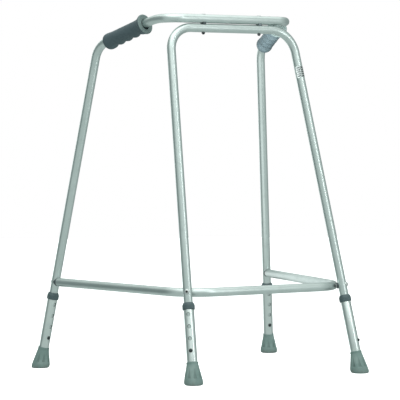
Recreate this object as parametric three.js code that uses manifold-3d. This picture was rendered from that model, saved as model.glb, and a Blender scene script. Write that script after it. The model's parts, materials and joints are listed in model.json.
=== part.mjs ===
// Height-adjustable walking frame, millimetres. +Z up, front faces -Y, the user stands at +Y.
// "left" is -X, which is the left side seen from the front. Both sides mirror across X = 0.
import * as THREE from 'three';
import { mergeVertices } from 'three/addons/utils/BufferGeometryUtils.js';
import Module from 'manifold-3d';

const wasm = await Module();
wasm.setup();

// tube stock
const frameRadius = 19.05 / 2;
const frameBore = 8.1;
const legRadius = 22.2 / 2;
const legBore = 9.82;
const tubeSides = 16;
const boreSides = 10;

// right-hand side skeleton; the left side mirrors it
const frontFoot = new THREE.Vector3(211, -252, 0);
const rearFoot = new THREE.Vector3(306.8, 252, 0);
const railY = -72.9;
const lowerRailZ = 749.1;
const upperRailZ = 769;
const frontCorner = new THREE.Vector3(156, railY, lowerRailZ);
const handleRearCorner = new THREE.Vector3(214.6, 140.2, 716.5);
const handleFrontCorner = new THREE.Vector3(163, -25, upperRailZ);
const upperRailCorner = new THREE.Vector3(147.9, railY, upperRailZ);
const frontBendRadius = 56;
const handleBendRadius = 44;
const railBendRadius = 35;
const handleRiseRadius = 115;
const braceFrontZ = 187;
const frontBoltZ = 190;
const braceRearZ = 193.2;
const braceBendRadius = 80;
const bendSteps = 6;
const riseSteps = 3;

// height adjustment, distances measured up each leg from the floor
const innerTubeEnd = 56;
const buttonHeight = 71;
const holePitch = 25.4;
const holeCount = 4;
const holeRadius = 3.6;
const legTubeStart = 11.2;
const legTubeEnd = 170.5;
const collarStart = 157.7;

// fasteners: radii of shank, drilled hole, head and nut, with the height of the head and the nut
const railFastener = { shank: 2, hole: 2.3, head: 4.6, crown: 1.2, nut: 3.9, nutHeight: 4.6 };
const braceFastener = { shank: 3, hole: 3.3, head: 5.7, crown: 2.8, nut: 5.8, nutHeight: 8.4 };
const railBoltX = 71.7;

const material = (color, roughness, metalness) =>
  new THREE.MeshStandardMaterial({ color, roughness, metalness });
const aluminium = material(0xb7c6c3, 0.36, 0.85);
const legAluminium = material(0xc2cecb, 0.34, 0.85);
const gripVinyl = material(0x42565f, 0.55, 0);
const collarPlastic = material(0x3d4c55, 0.5, 0);
const ferruleRubber = material(0x647a73, 0.8, 0);
const darkPlastic = material(0x2e383c, 0.5, 0);
const blackenedSteel = material(0x30383b, 0.45, 0.6);
const brightSteel = material(0xa9afb1, 0.35, 0.9);
const labelFilm = material(0xdfe6e4, 0.5, 0);

const xAxis = new THREE.Vector3(1, 0, 0);
const group = new THREE.Group();
group.name = 'walking_frame';

// welded, attribute-free copy of a geometry as a manifold solid
function toSolid(geometry) {
  const bare = geometry.clone();
  bare.deleteAttribute('normal');
  bare.deleteAttribute('uv');
  const welded = mergeVertices(bare, 1e-3);
  const [corner, triangles] = [welded.index.array, []];
  for (let i = 0; i < corner.length; i += 3) {
    const [a, b, c] = corner.slice(i, i + 3);
    if (a !== b && b !== c && c !== a) triangles.push(a, b, c);
  }
  const mesh = new wasm.Mesh({
    numProp: 3,
    vertProperties: new Float32Array(welded.attributes.position.array),
    triVerts: new Uint32Array(triangles),
  });
  mesh.merge();
  return new wasm.Manifold(mesh);
}

function toGeometry(solid) {
  const mesh = solid.getMesh();
  const geometry = new THREE.BufferGeometry();
  geometry.setAttribute('position', new THREE.BufferAttribute(mesh.vertProperties, 3));
  geometry.setIndex(new THREE.BufferAttribute(mesh.triVerts, 1));
  const faceted = geometry.toNonIndexed();
  faceted.computeVertexNormals();
  return faceted;
}

function add(name, solid, look) {
  const mesh = new THREE.Mesh(toGeometry(solid), look);
  mesh.name = name;
  group.add(mesh);
}

// frame whose local +Z runs along direction; local +X leans toward the hint
function place(origin, direction, lean) {
  const z = direction.clone().normalize();
  const hint = lean ?? (Math.abs(z.x) > 0.9 ? new THREE.Vector3(0, 1, 0) : xAxis);
  const x = hint.clone().addScaledVector(z, -hint.dot(z)).normalize();
  const y = new THREE.Vector3().crossVectors(z, x);
  return new THREE.Matrix4().makeBasis(x, y, z).setPosition(origin);
}

const moved = (geometry, matrix) => toSolid(geometry).transform(matrix.elements);

// turned solid about local Z from [radius, height] pairs
function turned(profile, sides, matrix) {
  const points = profile.map(([r, h]) => new THREE.Vector2(r, h));
  const upright = new THREE.LatheGeometry(points, sides).rotateX(Math.PI / 2);
  return moved(upright, matrix);
}

function rod(from, to, radius, sides = 16) {
  const length = from.distanceTo(to);
  const profile = [[0, 0], [radius, 0], [radius, length], [0, length]];
  return turned(profile, sides, place(from, to.clone().sub(from)));
}

const circle = (radius, sides) => Array.from({ length: sides }, (_, i) => {
  const angle = (2 * Math.PI * i) / sides;
  return new THREE.Vector2(radius * Math.cos(angle), radius * Math.sin(angle));
});

// a path held as exact stations, so straight runs take one step and bends take several
class StationPath extends THREE.Curve {
  constructor(stations) {
    super();
    this.stations = stations;
  }

  station(u) {
    return this.stations[Math.round(u * (this.stations.length - 1))];
  }

  getPoint(u, target = new THREE.Vector3()) {
    return target.copy(this.station(u).point);
  }

  getPointAt(u, target) {
    return this.getPoint(u, target);
  }

  getTangentAt(u, target = new THREE.Vector3()) {
    return target.copy(this.station(u).tangent);
  }
}

// straight runs through the corners, each corner rounded by [radius, steps]
function bentPath(corners, bends) {
  const stations = [];
  const heading = (i) => corners[i + 1].clone().sub(corners[i]).normalize();
  stations.push({ point: corners[0].clone(), tangent: heading(0) });
  for (let i = 1; i < corners.length - 1; i += 1) {
    const [radius, steps] = bends[i - 1];
    const before = heading(i - 1);
    const after = heading(i);
    const turn = before.angleTo(after);
    const start = corners[i].clone().addScaledVector(before, -radius * Math.tan(turn / 2));
    const inward = after.clone().addScaledVector(before, -after.dot(before)).normalize();
    for (let k = 0; k <= steps; k += 1) {
      const angle = (turn * k) / steps;
      stations.push({
        point: start.clone()
          .addScaledVector(before, radius * Math.sin(angle))
          .addScaledVector(inward, radius * (1 - Math.cos(angle))),
        tangent: before.clone().multiplyScalar(Math.cos(angle))
          .addScaledVector(inward, Math.sin(angle)),
      });
    }
  }
  stations.push({ point: corners.at(-1).clone(), tangent: heading(corners.length - 2) });
  return stations;
}

function sweep(stations, radius, bore) {
  const shape = new THREE.Shape(circle(radius, tubeSides));
  if (bore) shape.holes.push(new THREE.Path(circle(bore, boreSides)));
  return toSolid(new THREE.ExtrudeGeometry(shape, {
    steps: stations.length - 1,
    extrudePath: new StationPath(stations),
  }));
}

const mirrored = (v, side) => new THREE.Vector3(v.x * side, v.y, v.z);
const bothSides = (points) => [
  ...points.map((p) => mirrored(p, -1)),
  ...points.toReversed().map((p) => p.clone()),
];
const along = (from, direction, distance) => from.clone().addScaledVector(direction, distance);

const frontAxis = frontCorner.clone().sub(frontFoot).normalize();
const rearAxis = handleRearCorner.clone().sub(rearFoot).normalize();
const atHeight = (foot, axis, z) => along(foot, axis, z / axis.z);

// brace corner sits on the front leg's axis; its bend passes inside the leg
const braceCorner = atHeight(frontFoot, frontAxis, braceFrontZ);
const rearJoint = atHeight(rearFoot, rearAxis, braceRearZ);
const braceSide = braceCorner.clone().sub(rearJoint).normalize();
const braceEnd = along(rearJoint, braceSide, frameRadius + 2.2);
const braceBisector = new THREE.Vector3(-1, 0, 0).sub(braceSide).setZ(0).normalize();
const braceStations = bentPath(
  bothSides([braceEnd, braceCorner]),
  [[braceBendRadius, bendSteps], [braceBendRadius, bendSteps]],
);
const apexOf = (side) => {
  const leg = mirrored(braceCorner, side);
  return braceStations.map(({ point }) => point)
    .reduce((best, p) => (p.distanceTo(leg) < best.distanceTo(leg) ? p : best));
};

// bolt axes, pointing from head to nut
const rails = [-1, 1].map((side) => ({
  side, centre: new THREE.Vector3(railBoltX * side, railY, (lowerRailZ + upperRailZ) / 2),
}));
const frontBolts = [-1, 1].map((side) => {
  const leg = mirrored(atHeight(frontFoot, frontAxis, frontBoltZ), side);
  const across = apexOf(side).clone().sub(leg);
  return { side, leg, inward: across.clone().normalize(), reach: across.length() };
});
const rearBolts = [-1, 1].map((side) => (
  { side, leg: mirrored(rearJoint, side), inward: mirrored(braceSide, side) }
));
const drillThrough = ({ leg, inward }, length) => (
  rod(along(leg, inward, -20), along(leg, inward, length), braceFastener.hole)
);
const railDrills = rails.map(({ centre }) => rod(
  centre.clone().setZ(lowerRailZ - 30), centre.clone().setZ(upperRailZ + 30), railFastener.hole,
));

const sideNames = ['left', 'right'];
const legs = [
  { end: 'front', foot: frontFoot, axis: frontAxis, facing: braceBisector.clone().negate() },
  { end: 'rear', foot: rearFoot, axis: rearAxis, facing: braceSide.clone().setZ(0).normalize() },
].flatMap(({ end, foot, axis, facing }) => [-1, 1].map((side) => {
  const upLeg = mirrored(axis, side);
  const out = mirrored(facing, side);
  out.addScaledVector(upLeg, -out.dot(upLeg)).normalize();
  return { name: `${end}_${sideNames[(side + 1) / 2]}`, foot: mirrored(foot, side), upLeg, out };
}));
const buttonDrills = legs.map(({ foot, upLeg, out }) => {
  const seat = along(foot, upLeg, buttonHeight);
  return rod(along(seat, out, 4), along(seat, out, 20), holeRadius, 14);
});

// upper tube: rear legs, handles and upper front rail in one bent length
const handleStations = bentPath(
  bothSides([along(rearFoot, rearAxis, innerTubeEnd), handleRearCorner, handleFrontCorner,
    upperRailCorner]),
  [[handleBendRadius, bendSteps], [handleRiseRadius, riseSteps], [railBendRadius, bendSteps],
    [railBendRadius, bendSteps], [handleRiseRadius, riseSteps], [handleBendRadius, bendSteps]],
);
add('handle_tube', wasm.Manifold.difference([
  sweep(handleStations, frameRadius, frameBore),
  ...railDrills, ...rearBolts.map((bolt) => drillThrough(bolt, 12)), ...buttonDrills.slice(2),
]), aluminium);

// front tube: front legs and lower front rail
const frontStations = bentPath(
  bothSides([along(frontFoot, frontAxis, innerTubeEnd), frontCorner]),
  [[frontBendRadius, bendSteps], [frontBendRadius, bendSteps]],
);
add('front_tube', wasm.Manifold.difference([
  sweep(frontStations, frameRadius, frameBore),
  ...railDrills, ...frontBolts.map((bolt) => drillThrough(bolt, 12)),
  ...buttonDrills.slice(0, 2),
]), aluminium);

add('brace_tube', wasm.Manifold.difference([
  sweep(braceStations, frameRadius, frameBore),
  ...frontBolts.map((bolt) => drillThrough(bolt, 40)),
]), aluminium);

// domed bolt with its shank along +Z; the head's underside is hollowed to the tube it bears on
function bolt({ shank, head, crown }, matrix, length, tubeBody) {
  const dome = turned([[0, -crown], [0.42 * head, -0.92 * crown], [0.77 * head, -0.6 * crown],
    [0.96 * head, -0.1 * crown], [head, 1], [head, 3], [0, 3]], 14, matrix);
  const body = turned([[0, -crown / 2], [shank, -crown / 2], [shank, length], [0, length]], 12,
    matrix);
  return dome.subtract(tubeBody).add(body);
}
// closed-end nut seated at the origin, crown along +Z
function capNut({ hole, nut, nutHeight }, matrix) {
  const hexagon = turned([[0, 0], [nut, 0], [nut, 0.48 * nutHeight], [0, 0.48 * nutHeight]], 6,
    matrix);
  const crown = turned([[0, 0.36 * nutHeight], [0.81 * nut, 0.36 * nutHeight],
    [0.78 * nut, 0.62 * nutHeight], [0.55 * nut, 0.88 * nutHeight], [0, nutHeight]], 12, matrix);
  const bore = turned([[0, -1], [hole, -1], [hole, 0.7 * nutHeight], [0, 0.7 * nutHeight]], 12,
    matrix);
  return hexagon.add(crown).subtract(bore);
}

const down = new THREE.Vector3(0, 0, -1);
for (const { side, centre } of rails) {
  const name = sideNames[(side + 1) / 2];
  const headSeat = centre.clone().setZ(upperRailZ + frameRadius + 0.1);
  const nutSeat = centre.clone().setZ(lowerRailZ - frameRadius - 0.1);
  const span = headSeat.z - nutSeat.z;
  const [upper, lower] = [upperRailZ, lowerRailZ].map((z) => rod(
    new THREE.Vector3(-100, railY, z), new THREE.Vector3(100, railY, z), frameRadius + 0.15, 24,
  ));
  add(`rail_bolt_${name}`, bolt(railFastener, place(headSeat, down), span + 3, upper), brightSteel);
  add(`rail_nut_${name}`, capNut(railFastener, place(nutSeat, down)), blackenedSteel);
  const block = toSolid(new THREE.BoxGeometry(7.6, 13, 9).translate(...centre.toArray()));
  add(`rail_saddle_${name}`, wasm.Manifold.difference([
    block, upper, lower, railDrills[(side + 1) / 2],
  ]), darkPlastic);
}

// diagonal bolts hold the brace bends inside the front legs, with a curved shim between
const braceBody = sweep(braceStations, frameRadius + 0.2);
for (const { side, leg, inward, reach } of frontBolts) {
  const name = sideNames[(side + 1) / 2];
  const headSeat = along(leg, inward, -frameRadius - 0.1);
  const nutSeat = along(leg, inward, reach + frameRadius + 0.6);
  const length = headSeat.distanceTo(nutSeat) + 5;
  const upLeg = mirrored(frontAxis, side);
  const legBody = rod(along(leg, upLeg, -30), along(leg, upLeg, 30), frameRadius + 0.25, 24);
  const shim = rod(along(leg, upLeg, -8), along(leg, upLeg, 6), frameRadius + 3.3, 24);
  add(`brace_bolt_front_${name}`, bolt(braceFastener, place(headSeat, inward), length, legBody),
    brightSteel);
  add(`brace_nut_front_${name}`, capNut(braceFastener, place(nutSeat, inward)), blackenedSteel);
  add(`brace_saddle_front_${name}`, wasm.Manifold.intersection(
    shim, rod(along(leg, inward, 5), along(leg, inward, reach - 5), 7.6, 16),
  ).subtract(wasm.Manifold.union([
    legBody, braceBody, rod(leg, along(leg, inward, 30), braceFastener.hole),
  ])), darkPlastic);
}

// straight bolts pull the rear legs onto plugs in the brace ends
for (const { side, leg, inward } of rearBolts) {
  const name = sideNames[(side + 1) / 2];
  const headSeat = along(leg, inward, -frameRadius - 0.1);
  const upLeg = mirrored(rearAxis, side);
  const legBody = rod(along(leg, upLeg, -30), along(leg, upLeg, 30), frameRadius + 0.25, 24);
  add(`brace_bolt_rear_${name}`, bolt(braceFastener, place(headSeat, inward), 36, legBody),
    brightSteel);
  const plug = turned([
    [0, 3], [9.4, 3], [9.4, frameRadius + 1.9], [7.6, frameRadius + 1.9], [7.6, 32], [0, 32],
  ], tubeSides, place(leg, inward));
  add(`brace_plug_rear_${name}`, wasm.Manifold.difference([
    plug, legBody, rod(leg, along(leg, inward, 40), braceFastener.hole),
  ]), darkPlastic);
}

// height-adjustable lower leg: outer tube, collar, ferrule with its steel disc, snap button
const collarProfile = [
  [9.85, 15], [9.85, 13.2], [11.5, 12.9], [11.5, 0], [12.3, 0], [13.2, 2], [13.2, 9.4],
  [10.9, 15], [9.85, 15],
];
const ferruleOuter = [
  [0, 0], [18.6, 0], [19.9, 2], [20, 8], [18.7, 15], [17.1, 22], [14.4, 34], [12.7, 43], [12.3, 48],
];
const ferruleBore = [[11.5, 48], [11.5, 8.8], [0, 8.8]];
// the sole lies level on the floor while the socket follows the leg
function ferrule(foot, upLeg, out) {
  const profile = [...ferruleOuter, ...ferruleBore].map(([r, h]) => new THREE.Vector2(r, h));
  const geometry = new THREE.LatheGeometry(profile, tubeSides).rotateX(Math.PI / 2);
  geometry.applyMatrix4(place(new THREE.Vector3(), upLeg, out));
  const position = geometry.attributes.position;
  const point = new THREE.Vector3();
  for (let i = 0; i < position.count; i += 1) {
    point.fromBufferAttribute(position, i);
    const height = point.dot(upLeg);
    const radial = point.clone().addScaledVector(upLeg, -height);
    const inSocket = radial.length() < 11.6 && height > 5;
    const level = inSocket ? 0 : 1 - THREE.MathUtils.smoothstep(height, 4, 44);
    point.addScaledVector(upLeg, (-radial.z / upLeg.z) * level).add(foot);
    if (height < 0.01) point.z = 0;
    position.setXYZ(i, point.x, point.y, point.z);
  }
  return toSolid(geometry);
}

// leaf bent into a V inside the inner tube; strip section swept along its own bend
function buttonSpring(matrix) {
  const outline = new THREE.Shape([
    [7.1, 9], [7.1, -9], [3.4, -34], [0.6, -38], [-2.4, -36.4], [-7.2, -6], [-7.2, 6],
    [-6.6, 6], [-6.6, -6], [-1.9, -35.6], [0.4, -37.2], [2.9, -33.6], [6.5, -9], [6.5, 9],
  ].map(([x, y]) => new THREE.Vector2(x, y)));
  const strip = new THREE.ExtrudeGeometry(outline, { depth: 4.6, bevelEnabled: false });
  return moved(strip.translate(0, 0, -2.3).rotateX(Math.PI / 2), matrix);
}

for (const { name, foot, upLeg, out } of legs) {
  const local = place(foot, upLeg, out);
  const at = (distance) => place(along(foot, upLeg, distance), upLeg, out);
  const tube = turned([
    [legBore, legTubeStart], [legRadius, legTubeStart], [legRadius, legTubeEnd],
    [legBore, legTubeEnd], [legBore, legTubeStart],
  ], tubeSides, local);
  const holes = Array.from({ length: holeCount }, (_, i) => {
    const centre = along(foot, upLeg, buttonHeight + i * holePitch);
    return rod(along(centre, out, 5), along(centre, out, 20), holeRadius, 14);
  });
  add(`lower_leg_${name}`, wasm.Manifold.difference([tube, ...holes]), legAluminium);
  add(`collar_${name}`, turned(collarProfile, tubeSides, at(collarStart)), collarPlastic);
  add(`ferrule_${name}`, ferrule(foot, upLeg, out), ferruleRubber);
  add(`ferrule_disc_${name}`, turned([[0, 9.1], [10.9, 9.1], [10.9, 10.8], [0, 10.8]], 16, local),
    brightSteel);
  const seat = along(foot, upLeg, buttonHeight);
  add(`snap_button_${name}`, turned([
    [0, 7.4], [3.2, 7.4], [3.2, 12], [2.6, 13.1], [1.4, 13.7], [0, 13.9],
  ], 10, place(seat, out)), blackenedSteel);
  add(`button_spring_${name}`, buttonSpring(at(buttonHeight).multiply(
    new THREE.Matrix4().makeRotationX(Math.PI),
  )), brightSteel);
}

// moulded grip: thicker below and inward, four finger hollows there, wide flange at the front end
const gripLength = 120;
const gripStart = 29;
const gripBore = 9.9;
const gripSides = 16;
const grooveStart = 16;
const grooveEnd = 108;
const grooveDepth = 2.9;
// how far the finger side turns inward as it hangs down
const gripTwist = 0.45;
// [distance, radius, drop of the section below the tube's axis]
const gripCore = [
  [0, 13.6, 0.9], [2.5, 16.4, 1.3], [7, 18.4, 1.9], [grooveStart, 18.2, 2.1], [26, 17.5, 2],
  [94, 17.5, 2], [grooveEnd, 18.9, 1.3], [114, 21, 0.8], [117, 22.3, 0.6], [119, 22.1, 0.6],
  [gripLength, 20.9, 0.6],
];
function gripSection(distance) {
  const next = Math.max(gripCore.findIndex(([d]) => d >= distance - 1e-6), 1);
  const [d0, r0, drop0] = gripCore[next - 1];
  const [d1, r1, drop1] = gripCore[next];
  const { mapLinear } = THREE.MathUtils;
  return [mapLinear(distance, d0, d1, r0, r1), mapLinear(distance, d0, d1, drop0, drop1)];
}
function grip(side) {
  const start = mirrored(handleRearCorner, side);
  const heading = mirrored(handleFrontCorner, side).sub(start).normalize();
  const pitch = (grooveEnd - grooveStart) / 16;
  const steps = [0, 2.5, 7, ...Array.from({ length: 17 }, (_, i) => grooveStart + i * pitch), 111,
    114, 117, 119, gripLength];
  const rings = steps.map((distance) => {
    const [radius, drop] = gripSection(distance);
    const phase = ((distance - grooveStart) / (grooveEnd - grooveStart)) * 4;
    const inGrooves = distance > grooveStart && distance < grooveEnd;
    const hollow = inGrooves ? grooveDepth * Math.sin(Math.PI * (phase % 1)) ** 2 : 0;
    return circle(1, gripSides).map(({ x, y }) => {
      const reach = radius - hollow * Math.max(0, -x) ** 1.5;
      return [x * reach - drop, y * reach, distance];
    });
  });
  for (const distance of [gripLength, 0]) {
    rings.push(circle(gripBore, gripSides).map(({ x, y }) => [x, y, distance]));
  }
  const index = [];
  rings.forEach((_, i) => {
    const next = (i + 1) % rings.length;
    for (let k = 0; k < gripSides; k += 1) {
      const [a, b] = [k, (k + 1) % gripSides];
      index.push(i * gripSides + a, i * gripSides + b, next * gripSides + b);
      index.push(i * gripSides + a, next * gripSides + b, next * gripSides + a);
    }
  });
  const geometry = new THREE.BufferGeometry();
  geometry.setAttribute('position', new THREE.Float32BufferAttribute(rings.flat(2), 3));
  geometry.setIndex(index);
  const upward = new THREE.Vector3(side * gripTwist, 0, 1);
  return moved(geometry, place(along(start, heading, gripStart), heading, upward));
}
for (const side of [-1, 1]) add(`grip_${sideNames[(side + 1) / 2]}`, grip(side), gripVinyl);

// blank sticker wrapped part way round the upper right front leg
const labelArc = 2.2;
const labelHeight = 26;
const labelDistance = 662;
const labelFacing = new THREE.Vector3(-0.2, -1, 0);
const labelSteps = 8;
const labelShape = new THREE.Shape();
const arcPoint = (radius, i) => {
  const angle = labelArc * (i / labelSteps - 0.5);
  return [radius * Math.cos(angle), radius * Math.sin(angle)];
};
labelShape.moveTo(...arcPoint(frameRadius + 0.35, 0));
for (let i = 1; i <= labelSteps; i += 1) labelShape.lineTo(...arcPoint(frameRadius + 0.35, i));
for (let i = labelSteps; i >= 0; i -= 1) labelShape.lineTo(...arcPoint(frameRadius + 0.1, i));
labelShape.closePath();
add('blank_label', moved(
  new THREE.ExtrudeGeometry(labelShape, { depth: labelHeight, bevelEnabled: false }),
  place(along(frontFoot, frontAxis, labelDistance), frontAxis, labelFacing),
), labelFilm);

export default group;
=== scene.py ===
import json
import math

import bmesh
import bpy
from mathutils import Matrix, Vector


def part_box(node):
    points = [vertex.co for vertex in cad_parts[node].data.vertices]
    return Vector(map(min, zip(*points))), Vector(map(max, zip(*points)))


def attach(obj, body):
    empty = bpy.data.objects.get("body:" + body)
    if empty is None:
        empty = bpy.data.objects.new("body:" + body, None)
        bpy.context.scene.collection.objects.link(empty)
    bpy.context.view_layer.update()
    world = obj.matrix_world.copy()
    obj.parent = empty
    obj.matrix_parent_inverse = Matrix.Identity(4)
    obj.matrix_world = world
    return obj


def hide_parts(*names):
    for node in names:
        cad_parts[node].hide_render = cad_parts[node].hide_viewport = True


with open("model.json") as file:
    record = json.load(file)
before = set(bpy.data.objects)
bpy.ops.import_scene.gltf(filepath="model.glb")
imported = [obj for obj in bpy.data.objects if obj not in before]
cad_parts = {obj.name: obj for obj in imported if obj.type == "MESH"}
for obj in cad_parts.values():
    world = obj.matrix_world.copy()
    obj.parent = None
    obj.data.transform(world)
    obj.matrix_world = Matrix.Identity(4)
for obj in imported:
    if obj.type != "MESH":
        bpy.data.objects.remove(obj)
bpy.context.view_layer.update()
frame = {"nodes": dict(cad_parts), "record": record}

mm = 0.001
scene = bpy.context.scene

# every shape below is worked out in millimetres and scaled once, when its piece is made
record = frame["record"]
jointAxes = {joint["name"]: Vector(joint["axis"]) for joint in record["behaviour"]["joints"]}
soles = {mount["name"]: Vector(mount["pos_m"]) / mm for mount in record["mounts"]}
travel = {joint["name"]: joint["range_m"][1] for joint in record["behaviour"]["joints"]}
sides = {"left": -1, "right": 1}
print("frame loaded,", len(frame["nodes"]), "nodes")


def boxOf(node):
    low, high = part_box(node)
    return Vector(low) / mm, Vector(high) / mm


def mirrored(point, side):
    return Vector((point[0] * side, point[1], point[2]))


# frame whose +Z runs along direction and whose +X leans towards lean
def stand(origin, direction, lean=(1, 0, 0)):
    z = Vector(direction).normalized()
    lean = Vector(lean)
    x = (lean - z * lean.dot(z)).normalized()
    turn = Matrix((x, z.cross(x), z)).transposed().to_4x4()
    return Matrix.Translation(origin) @ turn


# camera
cameraSettings = {
    "place": (-2.4939, -4.0009, 0.4843),
    "yaw": 31.54,      # degrees from +Y towards +X
    "pitch": -1.33,
    "roll": -0.39,
    "lens": 191.9,
    "sensor": 36.0,
    "clip": (0.1, 60),
}


def makeCamera():
    s = cameraSettings
    data = bpy.data.cameras.new("camera")
    data.lens = s["lens"]
    data.sensor_width = s["sensor"]
    data.clip_start, data.clip_end = s["clip"]
    camera = bpy.data.objects.new("camera", data)
    scene.collection.objects.link(camera)
    yaw, pitch, roll = (math.radians(s[k]) for k in ("yaw", "pitch", "roll"))
    turn = Matrix.Rotation(-yaw, 4, "Z") @ Matrix.Rotation(math.pi / 2 + pitch, 4, "X")
    turn = turn @ Matrix.Rotation(roll, 4, "Z")
    camera.matrix_world = Matrix.Translation(s["place"]) @ turn
    scene.camera = camera


# one number running over a surface; arithmetic on it adds Math nodes
class Signal:
    def __init__(self, look, socket):
        self.look = look
        self.socket = socket

    def combine(self, operation, first, second):
        return self.look.combine(operation, first, second)

    def __add__(self, other):
        return self.combine("ADD", self, other)

    def __radd__(self, other):
        return self.combine("ADD", other, self)

    def __sub__(self, other):
        return self.combine("SUBTRACT", self, other)

    def __rsub__(self, other):
        return self.combine("SUBTRACT", other, self)

    def __mul__(self, other):
        return self.combine("MULTIPLY", self, other)

    def __rmul__(self, other):
        return self.combine("MULTIPLY", other, self)

    def __abs__(self):
        return self.combine("ABSOLUTE", self, 0)


# nodes of one tree: a material's or the room's
class Wiring:
    def __init__(self, tree):
        self.tree = tree

    def feed(self, socket, value):
        if isinstance(value, Signal):
            value = value.socket
        if isinstance(value, bpy.types.NodeSocket):
            self.tree.links.new(value, socket)
        else:
            socket.default_value = value

    def node(self, kind, settings, values):
        node = self.tree.nodes.new(kind)
        for key, value in settings.items():
            setattr(node, key, value)
        for key, value in values.items():
            self.feed(node.inputs[key], value)
        return node

    def combine(self, operation, first, second):
        node = self.node("ShaderNodeMath", {"operation": operation}, {0: first, 1: second})
        return Signal(self, node.outputs[0])

    # position in millimetres, stretched along each axis
    def place(self, stretch=(1, 1, 1), attribute=None):
        if attribute:
            source = self.node("ShaderNodeAttribute", {"attribute_name": attribute}, {})
            socket, unit = source.outputs["Vector"], 1
        else:
            socket = self.node("ShaderNodeTexCoord", {}, {}).outputs["Object"]
            unit = 1 / mm
        scaled = tuple(unit * factor for factor in stretch)
        node = self.node("ShaderNodeVectorMath", {"operation": "MULTIPLY"}, {0: socket, 1: scaled})
        return node.outputs[0]

    def parts(self, vector):
        node = self.node("ShaderNodeSeparateXYZ", {}, {0: vector})
        return [Signal(self, output) for output in node.outputs]

    # soft cloud whose blotches are about size millimetres across
    def cloud(self, vector, size, detail, roughness=0.5):
        values = {"Vector": vector, "Scale": 1 / size, "Detail": detail, "Roughness": roughness}
        return Signal(self, self.node("ShaderNodeTexNoise", {}, values).outputs[0])

    # distance to the nearest of points scattered about size millimetres apart
    def cells(self, vector, size):
        values = {"Vector": vector, "Scale": 1 / size}
        node = self.node("ShaderNodeTexVoronoi", {"feature": "F1"}, values)
        return Signal(self, node.outputs["Distance"])

    # 0 below low, 1 above high, smooth between
    def step(self, signal, low, high):
        values = {"Value": signal, "From Min": low, "From Max": high}
        settings = {"interpolation_type": "SMOOTHSTEP"}
        return Signal(self, self.node("ShaderNodeMapRange", settings, values).outputs["Result"])

    def tint(self, factor, first, second):
        first, second = ((*c, 1) if isinstance(c, tuple) else c for c in (first, second))
        node = self.node("ShaderNodeMix", {"data_type": "RGBA"}, {0: factor, 6: first, 7: second})
        return node.outputs[2]


class Look(Wiring):
    def __init__(self, name, metallic=0.0, specular=0.5):
        self.material = bpy.data.materials.new(name)
        self.material.use_nodes = True
        super().__init__(self.material.node_tree)
        self.shader = self.tree.nodes["Principled BSDF"]
        self.shader.inputs["Metallic"].default_value = metallic
        self.shader.inputs["Specular IOR Level"].default_value = specular

    def paint(self, colour, roughness, height, depth, strength=1.0):
        self.feed(self.shader.inputs["Base Color"], colour)
        self.feed(self.shader.inputs["Roughness"], roughness)
        values = {"Height": height, "Distance": depth * mm, "Strength": strength}
        bump = self.node("ShaderNodeBump", {}, values)
        self.feed(self.shader.inputs["Normal"], bump.outputs["Normal"])
        return self.material


# satin anodised tube: drawing lines along its length, rub marks, a few nicks and finger marks
tubeFinish = {
    "frame": {"dull": (0.53, 0.60, 0.585), "clear": (0.68, 0.74, 0.725), "gloss": 0.27, "wear": 0.55},
    "leg": {"dull": (0.57, 0.635, 0.615), "clear": (0.73, 0.785, 0.77), "gloss": 0.25, "wear": 0.75},
}


def anodised(name):
    s = tubeFinish[name]
    look = Look(f"anodised_{name}", metallic=1.0)
    skin = look.place()
    drawn = look.cloud(look.place((1, 1, 0.012), "tubeSpace"), 0.42, 2)
    cast = look.cloud(skin, 85, 2)
    handled = look.cloud(skin, 16, 5, 0.62)
    rubbed = look.step(look.cloud(look.place((1, 1, 0.06), "tubeSpace"), 1.5, 3, 0.7), 0.62, 0.74)
    rubbed = rubbed * look.step(look.cloud(skin, 38, 2), 0.5, 0.66) * s["wear"]
    nicks = 1 - look.step(look.cells(skin, 17), 0.025, 0.055)
    grimeAndShade = look.parts(look.place(attribute="paintedShadeSpace"))[0]
    colour = look.tint(cast, s["dull"], s["clear"])
    colour = look.tint(look.step(handled, 0.5, 0.75) * 0.3, colour, tuple(0.8 * c for c in s["dull"]))
    colour = look.tint(rubbed * 0.5, colour, (0.86, 0.88, 0.87))
    colour = look.tint(nicks * 0.7, colour, (0.30, 0.33, 0.33))
    # painted shade: the walls of the drilled holes are tinted near black
    colour = look.tint(grimeAndShade * 0.95, colour, (0.02, 0.024, 0.024))
    roughness = s["gloss"] + handled * 0.14 + drawn * 0.06 + rubbed * 0.12
    height = drawn * 0.5 - rubbed * 0.35 - nicks * 1.5
    return look.paint(colour, roughness, height, 0.05, strength=0.55)


# moulded vinyl: fine pebbled grain, polished where the palm rests, a parting line down each flank, painted
# light on the underside and a painted reflection on the flange face
gripFinish = {
    "deep": (0.052, 0.079, 0.090), "face": (0.084, 0.121, 0.136), "underLightTone": (0.140, 0.190, 0.205),
    "rim": (0.185, 0.245, 0.235),
    "palm": 12.0,      # height above the tube's axis where the palm polish starts
    "grain": 0.9,
}


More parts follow.
